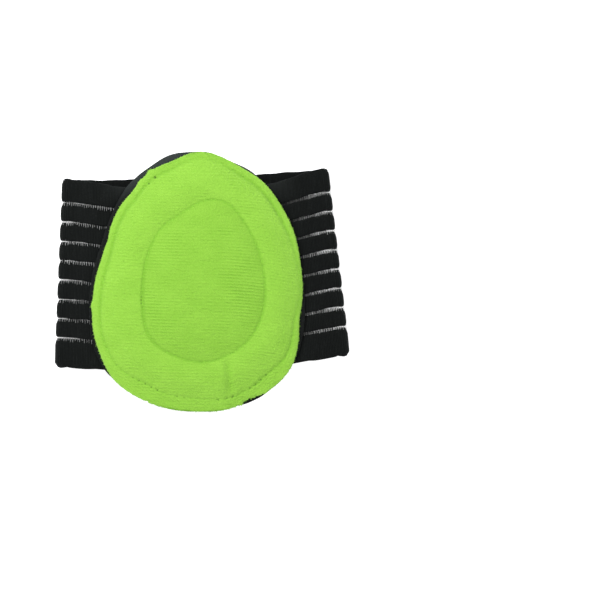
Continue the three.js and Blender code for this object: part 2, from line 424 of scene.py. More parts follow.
def back(along, across):
    """The lower layer, on the table: 0 is at the left fold and 1 at the right one."""
    left, right = fold(-1, 0 * along, across), fold(1, 0 * along, across)
    plan = left + (right - left) * along[..., None]
    plan[..., 1] -= 4 * BACK_SAG * along * (1 - along)
    return plan


SECTIONS = (
    (39, lambda along, across: front(-1, 1 - along, across)),
    (math.pi * FOLD_RADIUS, lambda along, across: fold(-1, 1 - along, across)),
    (107.5, lambda along, across: back(along, across)),
    (math.pi * FOLD_RADIUS, lambda along, across: fold(1, along, across)),
    (41, lambda along, across: front(1, along, across)),
)
STRIP_LENGTH = sum(section[0] for section in SECTIONS)


def strip_surface(distance, across):
    """Points of the strip's middle surface, at distances from its left sewn end and from its lower edge."""
    distance, across = np.broadcast_arrays(np.asarray(distance, float), np.asarray(across, float))
    points = np.zeros((*distance.shape, 3))
    start = 0
    for size, surface in SECTIONS:
        last = start + size >= STRIP_LENGTH - 1e-6
        here = (distance >= start) & ((distance < start + size) | last)
        if here.any():
            points[here] = surface(np.clip((distance[here] - start) / size, 0, 1), across[here])
        start += size
    return points


def at_fold(distance):
    """1 in the middle of a fold and 0 away from it."""
    fold_length = math.pi * FOLD_RADIUS
    from_left = np.abs(distance - SECTIONS[0][0] - fold_length / 2)
    from_right = np.abs(distance - STRIP_LENGTH + SECTIONS[4][0] + fold_length / 2)
    return 1 - smooth(np.minimum(from_left, from_right), 0.3 * fold_length, 0.9 * fold_length)


def strip_normals(distance, across):
    """Directions out of the loop."""
    step = 0.1
    along = strip_surface(distance + step, across) - strip_surface(distance - step, across)
    over = strip_surface(distance, across + step) - strip_surface(distance, across - step)
    normals = np.cross(over, along)
    return normals / np.maximum(np.linalg.norm(normals, axis=-1, keepdims=True), 1e-9)


# Meshes


def lattice(mesh, columns, rows, copies=1):
    """Fills a mesh with grids of quads. Returns each corner's copy, column and row."""
    shape = bmesh.new()
    for copy in range(copies):
        made = bmesh.ops.create_grid(shape, x_segments=columns, y_segments=rows, size=0.5)["verts"]
        bmesh.ops.translate(shape, verts=made, vec=(2 * copy, 0, 0))
    shape.to_mesh(mesh)
    shape.free()
    places = np.empty(len(mesh.vertices) * 3)
    mesh.vertices.foreach_get("co", places)
    x, y = places.reshape(-1, 3)[:, 0], places.reshape(-1, 3)[:, 1]
    copy = np.round(x / 2).astype(int)
    column = np.round((x - 2 * copy + 0.5) * columns).astype(int)
    row = np.round((y + 0.5) * rows).astype(int)
    return copy, column, row


def set_places(mesh, points):
    """Puts a mesh's corners at points given in the pad's own frame."""
    mesh.vertices.foreach_set("co", in_metres(points).ravel())
    mesh.update()


def get_places(mesh):
    """Places of a mesh's corners in the pad's own frame."""
    places = np.empty(len(mesh.vertices) * 3)
    mesh.vertices.foreach_get("co", places)
    return places.reshape(-1, 3) / MM - SHIFT


def set_numbers(mesh, name, values):
    """Stores one number or one vector a corner, for a material to read."""
    values = np.asarray(values, dtype=float)
    kind = "FLOAT" if values.ndim == 1 else "FLOAT_VECTOR"
    layer = mesh.attributes.new(name, kind, "POINT")
    layer.data.foreach_set("value" if values.ndim == 1 else "vector", values.ravel())


def close_up(mesh):
    """Joins a grid's meeting edges, closes its open ends and turns its faces outwards."""
    shape = bmesh.new()
    shape.from_mesh(mesh)
    bmesh.ops.remove_doubles(shape, verts=shape.verts, dist=0.0005 * MM)
    bmesh.ops.holes_fill(shape, edges=[e for e in shape.edges if e.is_boundary], sides=0)
    bmesh.ops.recalc_face_normals(shape, faces=shape.faces)
    shape.to_mesh(mesh)
    shape.free()


def finished(name, mesh, material, replaces=None):
    """A smooth-shaded piece that moves with the sleeve."""
    piece = bpy.data.objects.new(name, mesh)
    bpy.context.scene.collection.objects.link(piece)
    mesh.materials.clear()
    mesh.materials.append(material)
    mesh.shade_smooth()
    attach(piece, "root")
    if replaces:
        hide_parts(replaces)
    return piece


def thread_mesh(name, paths, resolution=0):
    """Round threads with closed ends. Each path is its points, in the pad's own frame, and its radius."""
    curve = bpy.data.curves.new(name, "CURVE")
    curve.dimensions = "3D"
    curve.bevel_depth = MM
    curve.bevel_resolution = resolution
    curve.use_fill_caps = True
    for points, radius in paths:
        spline = curve.splines.new("POLY")
        spline.points.add(len(points) - 1)
        flat = np.ones((len(points), 4))
        flat[:, :3] = in_metres(points)
        spline.points.foreach_set("co", flat.ravel())
        spline.points.foreach_set("radius", np.broadcast_to(radius, len(points)).astype(float))
    holder = bpy.data.objects.new(name, curve)
    bpy.context.scene.collection.objects.link(holder)
    graph = bpy.context.evaluated_depsgraph_get()
    mesh = bpy.data.meshes.new_from_object(holder.evaluated_get(graph))
    mesh.name = name
    bpy.data.objects.remove(holder)
    bpy.data.curves.remove(curve)
    return mesh


# Materials


class Finish:
    """A material under construction: its shader, and short ways to add and join nodes."""

    def __init__(self, name, **sockets):
        self.material = bpy.data.materials.new(name)
        self.material.use_nodes = True
        self.tree = self.material.node_tree
        self.shader = self.tree.nodes["Principled BSDF"]
        for socket, value in sockets.items():
            self.shader.inputs[socket.replace("_", " ")].default_value = value

    def node(self, kind, inputs=(), **settings):
        made = self.tree.nodes.new(kind)
        for key, value in settings.items():
            setattr(made, key, value)
        for socket, value in dict(inputs).items():
            if isinstance(value, bpy.types.NodeSocket):
                self.tree.links.new(value, made.inputs[socket])
            else:
                made.inputs[socket].default_value = value
        return made

    def number(self, name):
        return self.node("ShaderNodeAttribute", attribute_name=name).outputs["Fac"]

    def vector(self, name):
        return self.node("ShaderNodeAttribute", attribute_name=name).outputs["Vector"]

    def maths(self, operation, *values):
        return self.node("ShaderNodeMath", dict(enumerate(values)), operation=operation).outputs[0]

    def scaled(self, vector, scale):
        return self.node("ShaderNodeMapping", {"Vector": vector, "Scale": scale}).outputs[0]

    def noise(self, vector, scale, detail=2.0, roughness=0.5):
        values = {"Vector": vector, "Scale": scale, "Detail": detail, "Roughness": roughness}
        return self.node("ShaderNodeTexNoise", values).outputs["Fac"]

    def spots(self, vector, scale):
        return self.node("ShaderNodeTexVoronoi", {"Vector": vector, "Scale": scale}).outputs["Distance"]

    def steps(self, value, low, high, to_low=0.0, to_high=1.0):
        values = {"Value": value, "From Min": low, "From Max": high, "To Min": to_low, "To Max": to_high}
        return self.node("ShaderNodeMapRange", values, interpolation_type="SMOOTHSTEP").outputs["Result"]

    def blend(self, amount, first, second):
        mixer = self.node("ShaderNodeMix", data_type="RGBA")
        for socket, value in zip(("Factor_Float", "A_Color", "B_Color"), (amount, first, second)):
            target = next(s for s in mixer.inputs if s.identifier == socket)
            if isinstance(value, bpy.types.NodeSocket):
                self.tree.links.new(value, target)
            else:
                target.default_value = value
        return next(s for s in mixer.outputs if s.identifier == "Result_Color")

    def bump(self, height, millimetres):
        values = {"Height": height, "Distance": millimetres * MM, "Strength": 1.0}
        normal = self.node("ShaderNodeBump", values).outputs["Normal"]
        self.tree.links.new(normal, self.shader.inputs["Normal"])

    def paint(self, result, socket="Base Color"):
        self.tree.links.new(result, self.shader.inputs[socket])


def elastic_finish(strip):
    finish = Finish(
        "black_elastic",
        Roughness=0.85,
        Sheen_Weight=0.06,
        Sheen_Roughness=0.35,
        Sheen_Tint=(0.75, 0.85, 0.9, 1),
        Specular_IOR_Level=0.06,
    )
    cloth = finish.vector("cloth")
    wales = finish.noise(finish.scaled(cloth, (1.4, 0.12, 0)), 1.0, 3)
    loops = finish.spots(finish.scaled(cloth, (1 / 0.35, 1 / 0.5, 0)), 1.0)
    proud = finish.number("proud")
    # Painted light and shade: the proud cords and the turned-up strip near the top get the lighter black, the
    # sunk cords the darker; wales and loops add random fibre tone.
    light = finish.maths("MULTIPLY", finish.steps(wales, 0.35, 0.75), finish.steps(loops, 0.8, 0.1))
    light = finish.maths("MULTIPLY_ADD", proud, 0.5, finish.maths("MULTIPLY", light, 0.6))
    finish.paint(finish.blend(light, strip.black, strip.worn_black))
    finish.bump(loops, -0.16)
    return finish.material


def clear_finish(strip):
    finish = Finish("clear_thread", Roughness=0.35, Specular_IOR_Level=0.6)
    place = finish.node("ShaderNodeTexCoord").outputs["Object"]
    streaks = finish.noise(finish.scaled(place, (900, 120, 300)), 1.0, 1)
    dim = [c * 0.55 for c in strip.clear[:3]] + [1]
    clear = finish.blend(finish.steps(streaks, 0.35, 0.65), dim, strip.clear)
    finish.paint(finish.blend(finish.maths("MULTIPLY", finish.number("shaded"), 0.93), clear, strip.black))
    return finish.material


def backing_finish(backing):
    finish = Finish(
        "black_fabric",
        Roughness=0.5,
        Sheen_Weight=0.1,
        Sheen_Roughness=0.3,
        Sheen_Tint=(0.8, 0.92, 0.9, 1),
        Specular_IOR_Level=0.1,
    )
    place = finish.node("ShaderNodeTexCoord").outputs["Object"]
    weave = finish.spots(finish.scaled(place, (1 / 0.32 / MM, 1 / 0.45 / MM, 1 / MM)), 1.0)
    patches = finish.noise(finish.scaled(place, (60, 90, 60)), 1.0, 3)
    patches = finish.steps(patches, 0.3, 0.7, 0.45, 1.0)
    lit = finish.maths("MULTIPLY", finish.steps(weave, 0.75, 0.15), patches)
    cloth = finish.blend(lit, backing.dark, backing.light)
    # Painted light: the cloth is blended towards a lighter colour near its free upper edge.
    finish.paint(finish.blend(finish.number("painted_edge_light"), cloth, backing.painted_edge_light))
    finish.bump(weave, -0.1)
    return finish.material


def knit_finish(cover):
    finish = Finish(
        "green_knit",
        Roughness=0.92,
        Sheen_Weight=0.25,
        Sheen_Roughness=0.55,
        Sheen_Tint=(0.75, 1, 0.5, 1),
        Specular_IOR_Level=0.15,
    )
    cloth = finish.vector("cloth")
    loops = finish.spots(finish.scaled(cloth, (1 / 0.55, 2 / cover.rib_pitch, 0)), 1.0)
    fuzz = finish.noise(finish.scaled(cloth, (2.2, 2.6, 0)), 1.0, 4, 0.7)
    patches = finish.noise(finish.scaled(cloth, (0.09, 0.12, 0)), 1.0, 2)
    # Painted light and shade: the knit is lighter on its rib crowns and darker between ribs, along its seams,
    # in the crease's valley and in its needle holes; the 'sewn' number also darkens it over the insert;
    # loops, fuzz and patches are random tone.
    proud = finish.maths("MULTIPLY", finish.number("proud"), 0.44)
    shade = finish.maths("ADD", proud, finish.steps(loops, 0.85, 0.1, 0, 0.28))
    shade = finish.maths("ADD", shade, finish.steps(fuzz, 0.32, 0.68, -0.05, 0.3))
    shade = finish.maths("ADD", shade, finish.steps(patches, 0.3, 0.7, -0.06, 0.16))
    shade = finish.maths("SUBTRACT", shade, finish.number("sewn"))
    light = finish.blend(shade, cover.leaf, cover.lime)
    hole = [c * 0.35 for c in cover.leaf[:3]] + [1]
    finish.paint(finish.blend(finish.steps(finish.number("hole"), 0.15, 1.0), light, hole))
    height = finish.maths("ADD", finish.maths("MULTIPLY", fuzz, 0.6), finish.steps(loops, 0.9, 0.05, 0, 0.7))
    finish.bump(height, 0.2)
    return finish.material


def thread_finish(name, tone):
    finish = Finish(name, Roughness=0.6, Specular_IOR_Level=0.3)
    place = finish.node("ShaderNodeTexCoord").outputs["Object"]
    twist = finish.noise(finish.scaled(place, (2500, 1200, 2500)), 1.0, 1)
    dim = [c * 0.7 for c in tone[:3]] + [1]
    finish.paint(finish.blend(finish.steps(twist, 0.35, 0.65), dim, tone))
    finish.bump(twist, 0.1)
    return finish.material


# The strip's ribs and the clear threads between them


def rib_edges(gap_width):
    """(lower edge, upper edge, whether a see-through line lies above it) of each rib."""
    middles = [BOTTOM_RIB + gap * GAP_PITCH for gap in range(GAPS)]
    lows = [0.0, *[middle + gap_width / 2 for middle in middles]]
    highs = [*[middle - gap_width / 2 for middle in middles], STRIP_WIDTH]
    return list(zip(lows, highs, [True] * GAPS + [False]))


def right_front(points):
    """1 on the strip's upper layer to the right of the pad, and 0 elsewhere."""
    return smooth(points[..., 0], 22, 30) * smooth(points[..., 2], 3, 6)


# A rib's outer face: how far in from an edge, in millimetres, and the share of half the thickness there
RIB_ROUND = ((0.0, 0.42), (0.14, 0.78), (0.5, 0.96), (1.8, 1.0))
# Every third wale has a notch, and a fold curls in this much of a rib's edge
TOOTH_STEPS = 3
CURL_REACH = 1.6


def rib_profile(width, half):
    """Distances across a rib and out of its middle, once round it."""
    outer = [(inset, level * half) for inset, level in RIB_ROUND]
    outer += [(width - inset, level * half) for inset, level in reversed(RIB_ROUND)]
    return np.array(outer + [(across, -level) for across, level in reversed(outer)] + outer[:1])


def rib_grids(mesh, strip):
    """Fills a mesh with one grid for each rib, and returns where on the strip their corners lie."""
    steps = round(STRIP_LENGTH / strip.step)
    ribs = rib_edges(strip.gap_width)
    profiles = np.array([rib_profile(high - low, strip.rib_thickness / 2) for low, high, _ in ribs])
    rib, column, row = lattice(mesh, steps, profiles.shape[1] - 1, len(ribs))
    low, high, has_line = (np.array(values)[rib] for values in zip(*ribs))
    across, out = profiles[rib, row].T
    distance = column * STRIP_LENGTH / steps
    return SimpleNamespace(
        rib=rib,
        column=column,
        distance=distance,
        across=across,
        out=out,
        low=low,
        high=high,
        has_line=has_line,
    )


def notched(grid, strip):
    """Distances across each rib, once its upper edge has teeth and both its edges wander."""
    # The teeth stand in the uppermost 0.9 mm of a rib that has a see-through line above it.
    width = grid.high - grid.low
    near_top = smooth(grid.across, width - 0.9, width - 0.1)
    depth = strip.tooth_depth * (0.8 + 0.3 * ripple(grid.distance + 37 * grid.rib, 11, 2.9, 7.3))
    middle = strip_surface(grid.distance, grid.low + grid.across)
    reach = strip.tooth_reach - (grid.column % TOOTH_STEPS == 0) * depth
    across = grid.across + near_top * grid.has_line * (reach * (1 - 0.9 * right_front(middle)))
    wander = strip.wander * ripple(grid.distance + 61 * grid.rib, 12, 9.5, 23, 47)
    across = across + wander * (grid.low > 0)
    # On top, the lines open towards the right fold and close up a little towards the pad.
    closed = 0.05 * (1 - smooth(np.abs(middle[:, 0]), 40, 58)) - 0.06 * smooth(middle[:, 0], 44, 56)
    closed = (closed + 0.1 * smooth(-middle[:, 0], 43, 51)) * smooth(middle[:, 2], 3, 6)
    from_above, from_below = near_top * grid.has_line, (grid.low > 0) * smooth(0.9 - across, 0, 0.8)
    return across + closed * from_above - closed * from_below


def corded(grid, strip, across):
    """Distances out of a rib's middle surface: every second column sinks, and edges curl in at the folds."""
    out = np.sign(grid.out) * (np.abs(grid.out) - (grid.column % 2) * strip.relief)
    from_below = np.where(grid.low > 0, across, CURL_REACH)
    from_above = np.where(grid.has_line, grid.high - grid.low - across, CURL_REACH)
    inside = np.clip(np.minimum(from_below, from_above), 0, CURL_REACH)
    return out - strip.curl * at_fold(grid.distance) * (1 - inside / CURL_REACH) ** 2


class SLEEVE_OT_elastic_ribs(bpy.types.Operator):
    """Make the black ribs of the elastic strip, folded flat into a loop"""

    bl_idname = "sleeve.elastic_ribs"
    bl_label = "Elastic ribs"

    def execute(self, context):
        strip = sizes("sleeve_strip")
        mesh = bpy.data.meshes.new("elastic_ribs")
        grid = rib_grids(mesh, strip)
        distance, across = grid.distance, notched(grid, strip)
        out = corded(grid, strip, across)
        place = strip_surface(distance, grid.low + across)
        place += strip_normals(distance, grid.low + across) * out[:, None]
        place[:, 2] += 0.16 * ripple(distance + 29 * grid.rib, 13, 17, 31) * smooth(place[:, 2], 4, 7)
        on_top = place[:, 2] > 5
        # Painted light: near the top of the pad the upper layer turns up towards the light, and the 'proud'
        # number colours it lighter there.
        lit_turned_up = smooth(place[:, 1], 41, 53) * (1 - smooth(np.abs(place[:, 0]), 26, 42)) * on_top
        set_places(mesh, place)
        set_numbers(mesh, "cloth", np.stack([distance, grid.low + across, 0 * across], -1))
        set_numbers(mesh, "proud", 1.0 - grid.column % 2 + 2.2 * lit_turned_up)
        close_up(mesh)
        piece = finished("elastic_ribs", mesh, elastic_finish(strip), "elastic_band")
        return {"FINISHED"}


class SLEEVE_OT_clear_threads(bpy.types.Operator):
    """Make the clear threads that hold the ribs together across the see-through lines"""

    bl_idname = "sleeve.clear_threads"
    bl_label = "Clear threads"

    def execute(self, context):
        strip = sizes("sleeve_strip")
        rng = np.random.default_rng(3)
        paths = []
        steps = round(STRIP_LENGTH / strip.step)
        step = STRIP_LENGTH / steps
        for low, high, has_line in rib_edges(strip.gap_width):
            if not has_line:
                continue
            count = np.arange(1, steps)
            thick = count % TOOTH_STEPS == 0
            even = right_front(strip_surface(count * step, high))
            radius = np.where(thick, strip.thick_thread, strip.thin_thread) / 2
            radius += (strip.even_thread / 2 - radius) * even
            radius = radius * rng.uniform(0.8, 1.1, len(count)) * (1 - 0.55 * at_fold(count * step))
            radius = radius * (1 - 0.4 * smooth(count * step, STRIP_LENGTH - 36, STRIP_LENGTH - 20))
            lean = rng.normal(0, 0.07, (2, len(count)))
            # A thick thread starts in a notch and lies on the strip's outer side, a thin one on the inner.
            start = high - np.where(thick, strip.tooth_depth - strip.tooth_reach, 0.1)
            end = np.full(len(count), high + strip.gap_width + 0.2)
            out = np.where(thick, 0.42, -0.25) + rng.uniform(-0.15, 0.15, len(count))
            ends = []
            for where, tilt in ((start, lean[0]), (end, lean[1])):
                distance = np.clip(count * step + tilt, 0.2, STRIP_LENGTH - 0.2)
                ends.append(strip_surface(distance, where) + strip_normals(distance, where) * out[:, None])
            paths += [(pair, size) for pair, size in zip(np.stack(ends, 1), radius)]
        mesh = thread_mesh("clear_threads", paths)
        places = get_places(mesh)
        x, y = places[:, 0], places[:, 1]
        left = smooth(places[:, 2], 3, 6) * (1 - smooth(-x, 44, 57)) * smooth(-x, 0, 20)
        dim = right_front(places) * (1 - smooth(x, 34, 54)) + left * (0.65 - 0.45 * smooth(y, -10, 30))
        set_numbers(mesh, "shaded", dim)
        finished("clear_threads", mesh, clear_finish(strip))
        return {"FINISHED"}


# The backing


BACKING_SIDES = 300
# The backing's mean reach, which turns an angle into a length along its edge
BACKING_REACH = 44


def backing_rings():
    """Rings from the upper side's middle, round the edge, to the underside's middle.

    Each is (share of the outline, height above the underside as a share of the thickness).
    """
    inner = [(share, 1.0) for share in (0.0, 0.15, 0.3, 0.45, 0.6, 0.72, 0.82, 0.9, 0.95, 0.985)]
    edge = [(0.997, 0.93), (1.0, 0.72), (1.0, 0.28), (0.997, 0.07)]
    under = [(share, 0.0) for share in np.linspace(0.99, 0.0, 70)]
    return np.array(inner + edge + under)


class SLEEVE_OT_pad_backing(bpy.types.Operator):
    """Make the smooth black cloth under the cushion"""

    bl_idname = "sleeve.pad_backing"
    bl_label = "Pad backing"

    def execute(self, context):
        backing = sizes("sleeve_backing")
        mesh = bpy.data.meshes.new("pad_backing_cloth")
        rings = backing_rings()
        _, column, row = lattice(mesh, BACKING_SIDES, len(rings) - 1)
        degrees = (column % BACKING_SIDES) * 360 / BACKING_SIDES
        run = np.radians(degrees) * BACKING_REACH
        share, level = rings[row, 0], rings[row, 1]
        stray = waves(BACKING_WAVES, degrees) + 0.1 * ripple(run, 21, 8, 14, 44)
        outline = egg_point(BACKING, degrees, stray)
        x, y = (outline * share[:, None]).T
        height = BACKING_HEIGHT - belly(x, y) + backing.thickness * level
        under = level == 0
        inset = np.linalg.norm(outline, axis=1) * (1 - share)
        seam = egg_level(INSERT, x, y)
        sewn = groove(inset - around(RIM_INSET, degrees) - 1, 0.5) + groove((seam - 1) * 26, 0.6)
        gathers = 0.5 + 0.5 * ripple(run, 22, 2.9, 4.3)
        puff = smooth(inset, 5.5, 9) * (0.3 + 0.7 * gathers * groove(inset - 8, 3))
        height = height + under * (backing.groove * np.minimum(sewn, 1) * (0.75 + 0.25 * gathers))
        height = height + under * backing.puff * (1 - puff)
        height = height - backing.droop * smooth(share, 0.92, 1.02) * smooth(outline[:, 1], 40, 56)
        set_places(mesh, np.stack([x, y, height], -1))
        # Painted light: a share that rises towards the free upper edge, where the cloth is coloured lighter.
        set_numbers(mesh, "painted_edge_light", smooth(y, 42, 56))
        close_up(mesh)
        piece = finished("pad_backing_cloth", mesh, backing_finish(backing), "pad_backing")
        corners = egg_point(BACKING, np.arange(0, 360, 2.0))
        x, y = corners.T
        return {"FINISHED"}


# The cushion


def cover_rings(cover):
    """Rings of the cushion's upper side, from outside the cut edge to the middle of the insert.

    Each is (zone, share of the way through the zone, height above the underside).
    Zone 0 is the rim, in to its stitches, 1 the shoulder, up to the insert's seam, and 2 the insert.
    """
    rim, top, dome = cover.rim_height, cover.plateau_height, cover.dome_height
    stitched, quilted = 1.3 * rim, cover.plateau_height - cover.seam_depth
    rings = []
    for along, rise in ((-0.3, 0.8), (0, 0.86), (0.3, 1.03), (0.7, 1.22), (0.9, 1.29)):
        rings.append((0, along, rise * rim))
    rings += [(0, 1, stitched)]
    for along, rise in ((0.05, 0.03), (0.12, 0.11), (0.22, 0.27), (0.35, 0.49), (0.5, 0.71), (0.66, 0.89)):
        rings.append((1, along, stitched + (top - stitched) * rise))
    rings += [(1, 0.82, top - 0.1), (1, 0.93, top - 0.15 * cover.seam_depth)]
    rings += [(1, 0.97, top - 0.5 * cover.seam_depth), (2, 0, quilted)]
    for inside, rise in ((0.04, 0.14), (0.1, 0.29), (0.18, 0.46), (0.3, 0.66), (0.44, 0.82), (0.6, 0.93)):
        rings.append((2, inside, quilted + (dome - quilted) * rise))
    rings += [(2, 0.76, dome - 0.06), (2, 0.9, dome), (2, 1, dome)]
    return np.array(rings, dtype=float)


def cover_plan(degrees, zone, share):
    """Places, seen from above, on the cushion's rings."""
    edge = egg_point(PAD, degrees, waves(CUT_WAVES, degrees))
    seam = egg_point(INSERT, degrees)
    rim = rim_point(degrees)
    middle = np.array([INSERT.x, INSERT.y])
    share = share[:, None]
    plans = (edge + (rim - edge) * share, rim + (seam - rim) * share, seam + (middle - seam) * share)
    return np.choose(np.asarray(zone, int)[:, None], plans)


# The cloth simulation runs on a body a hundred times as large, where its forces are well behaved.
SIM_SIDES = 208
SIM_SCALE = 100
SIM_FRAMES = 20
SIM_FIXED_RINGS = 3
CLOTH = {
    "quality": 6,
    "mass": 0.4,
    "tension_stiffness": 60,
    "compression_stiffness": 60,
    "shear_stiffness": 30,
    "bending_stiffness": 8,
    "vertex_group_mass": "sewn",
    "use_pressure": True,
    "uniform_pressure_force": 4,
}


def cushion_sheet(cover):
    """The cushion's upper side before it swells: its body, and where its corners start and which are held."""
    mesh = bpy.data.meshes.new("cushion_cloth")
    rings = cover_rings(cover)
    _, column, row = lattice(mesh, SIM_SIDES, len(rings) - 1)
    degrees = (column % SIM_SIDES) * 360 / SIM_SIDES
    zone, share, height = rings[row].T
    points = np.column_stack([cover_plan(degrees, zone, share), height])
    sewn = (row <= SIM_FIXED_RINGS) | ((zone == 0) & (share == 1)) | ((zone == 2) & (share == 0))
    between_stitches = (column % 2 == 1) & (row > SIM_FIXED_RINGS)
    mesh.vertices.foreach_set("co", (points * MM * SIM_SCALE).ravel())
    set_numbers(mesh, "hold", sewn & ~between_stitches)
    set_numbers(mesh, "start", points)
    shape = bmesh.new()
    shape.from_mesh(mesh)
    bmesh.ops.remove_doubles(shape, verts=shape.verts, dist=0.001 * MM * SIM_SCALE)
    bmesh.ops.recalc_face_normals(shape, faces=shape.faces)
    shape.to_mesh(mesh)
    shape.free()
    start, hold = np.empty(len(mesh.vertices) * 3), np.empty(len(mesh.vertices))
    mesh.attributes["start"].data.foreach_get("vector", start)
    mesh.attributes["hold"].data.foreach_get("value", hold)
    body = bpy.data.objects.new("cushion_cloth", mesh)
    bpy.context.scene.collection.objects.link(body)
    return body, start.reshape(-1, 3), hold


def swell(body, hold):
    """Blows the cushion up from inside, and returns where its corners end, in millimetres."""
    group = body.vertex_groups.new(name="sewn")
    for index in np.flatnonzero(hold > 0):
        group.add([int(index)], float(hold[index]), "REPLACE")
    cloth = body.modifiers.new("swell", "CLOTH")
    for name, value in CLOTH.items():
        setattr(cloth.settings, name, value)
    cloth.settings.effector_weights.gravity = 0
    cloth.collision_settings.use_collision = False
    cloth.point_cache.frame_start = 1
    cloth.point_cache.frame_end = SIM_FRAMES
    scene = bpy.context.scene
    for number in range(1, SIM_FRAMES + 1):
        scene.frame_set(number)
    swollen = body.evaluated_get(bpy.context.evaluated_depsgraph_get()).to_mesh()
    moved = np.empty(len(swollen.vertices) * 3)
    swollen.vertices.foreach_get("co", moved)
    scene.frame_set(1)
    return moved.reshape(-1, 3) / (MM * SIM_SCALE)


def puffed_cushion(cover):
    """The cushion's upper side, swollen by a cloth simulation that is held at its seams, in millimetres."""
    body, start, hold = cushion_sheet(cover)
    mesh = body.data
    shift = swell(body, hold) - start
    far = np.linalg.norm(shift, axis=1, keepdims=True)
    shift *= np.minimum(1, cover.puff_limit / np.maximum(far, 1e-9))
    print("puff: largest move", round(float(far.max()), 3), "mm; mean", round(float(far.mean()), 3), "mm")
    body.modifiers.clear()
    body.vertex_groups.clear()
    mesh.vertices.foreach_set("co", (start + shift).ravel())
    mesh.update()
    finer = body.modifiers.new("finer", "SUBSURF")
    finer.levels = finer.render_levels = 2
    fine = bpy.data.meshes.new_from_object(body.evaluated_get(bpy.context.evaluated_depsgraph_get()))
    tree = BVHTree.FromPolygons([v.co.copy() for v in fine.vertices], [p.vertices[:] for p in fine.polygons])
    bpy.data.objects.remove(body)
    bpy.data.meshes.remove(mesh)
    bpy.data.meshes.remove(fine)
    return tree


def height_on(tree, plan):
    """Heights of a surface over some places; outside it, the height of its nearest point."""
    heights = np.empty(len(plan))
    down = Vector((0, 0, -1))
    for index, (x, y) in enumerate(plan):
        hit = tree.ray_cast(Vector((x, y, 40)), down)[0]
        if hit is None:
            hit = tree.find_nearest(Vector((x, y, 1)))[0]
        heights[index] = hit.z
    return heights


# The knit's ribs run across the pad. Near its left and right sides they slope down to the right, and more so
# on the right: the two numbers are the strengths of that bend, left and right.
RIB_LEAN = math.radians(0.6)
RIB_BEND = 3.5e-5, 8e-5


def rib_row_places(v, u):
    """Places, seen from above, along the knit's ribs: v picks the rib and u the way along it."""
    along = v - np.where(u < 0, *RIB_BEND) * u**3 / (1 + (u / 50) ** 2)
    x = u * math.cos(RIB_LEAN) + along * math.sin(RIB_LEAN)
    y = -u * math.sin(RIB_LEAN) + along * math.cos(RIB_LEAN)
    return x, y


def inside_cut(x, y):
    """How far inside the cut edge a place is, along the line from the pad's middle."""
    u, v = egg_frame(PAD, x, y)
    angle = np.arctan2(v, u)
    reach = egg_radius(PAD, angle) + cut_edge(np.degrees(angle) % 360)
    return reach - np.hypot(u, v)


def row_end(v, side):
    """Where the knit's ribs meet the cut edge on one side."""
    near, far = np.zeros_like(v), np.full_like(v, side * 60.0)
    for _ in range(28):
        middle = (near + far) / 2
        inside = inside_cut(*rib_row_places(v, middle)) > 0
        near, far = np.where(inside, middle, near), np.where(inside, far, middle)
    return near


def needle_holes(outline, pitch):
    """Places of needle holes along a closed line, one pitch apart."""
    line = np.vstack([outline, outline[:1]])
    run = np.concatenate([[0], np.cumsum(np.linalg.norm(np.diff(line, axis=0), axis=1))])
    at = np.linspace(0, run[-1], round(run[-1] / pitch), endpoint=False)
    return np.column_stack([np.interp(at, run, line[:, 0]), np.interp(at, run, line[:, 1])])


def seam_lines(stitches):
    """Needle holes of the rim's row of stitches and of the one round the insert."""
    degrees = np.arange(0, 360, 1.0)
    rim = needle_holes(rim_point(degrees), stitches.rim_pitch)
    insert = needle_holes(egg_point(INSERT, degrees), stitches.insert_pitch)
    return rim, insert


def nearest(places, points):
    """Distance from each place to the nearest of some points."""
    best = np.full(len(places), 1e9)
    for x, y in points:
        best = np.minimum(best, (places[:, 0] - x) ** 2 + (places[:, 1] - y) ** 2)
    return np.sqrt(best)


def soft_random(rng, shape, blur):
    """A random height for each place of a grid, smoothed over its neighbours, about -1 to 1."""
    values = rng.normal(0, 1, shape)
    for axis, reach in enumerate(blur):
        for _ in range(reach):
            values = (np.roll(values, 1, axis) + 2 * values + np.roll(values, -1, axis)) / 4
    return values / values.std() / 2


def crease(x, y):
    """A soft upright fold below the insert: a ridge, and a valley to its right."""
    start, end = np.array([12.2, -22.3]), np.array([13.1, -30.4])
    line = (end - start) / np.linalg.norm(end - start)
    at = (x - start[0]) * line[0] + (y - start[1]) * line[1]
    beyond = np.maximum(0, np.maximum(-at, at - np.linalg.norm(end - start)))
    right = (x - start[0]) * -line[1] + (y - start[1]) * line[0]
    return (0.5 * groove(right + 2.3, 1.9) - 0.75 * groove(right - 0.2, 1.6)) * groove(beyond, 2.2)


# The knit's fine grid: rows along its ribs, and columns that lie closer to each other near the cut edge
KNIT_FROM, KNIT_TO = -45, 70
KNIT_COLUMNS = 176
ROWS_PER_RIB = 6
CROWDING = 0.36

# Its closed underside: rings of (height as a share of the cut edge's, reach as a share of the cut edge's)
UNDERSIDE = ((0.7, 1.002), (0.25, 1.0), (0.0, 0.992), (0, 0.9), (0, 0.75), (0, 0.5), (0, 0.2))


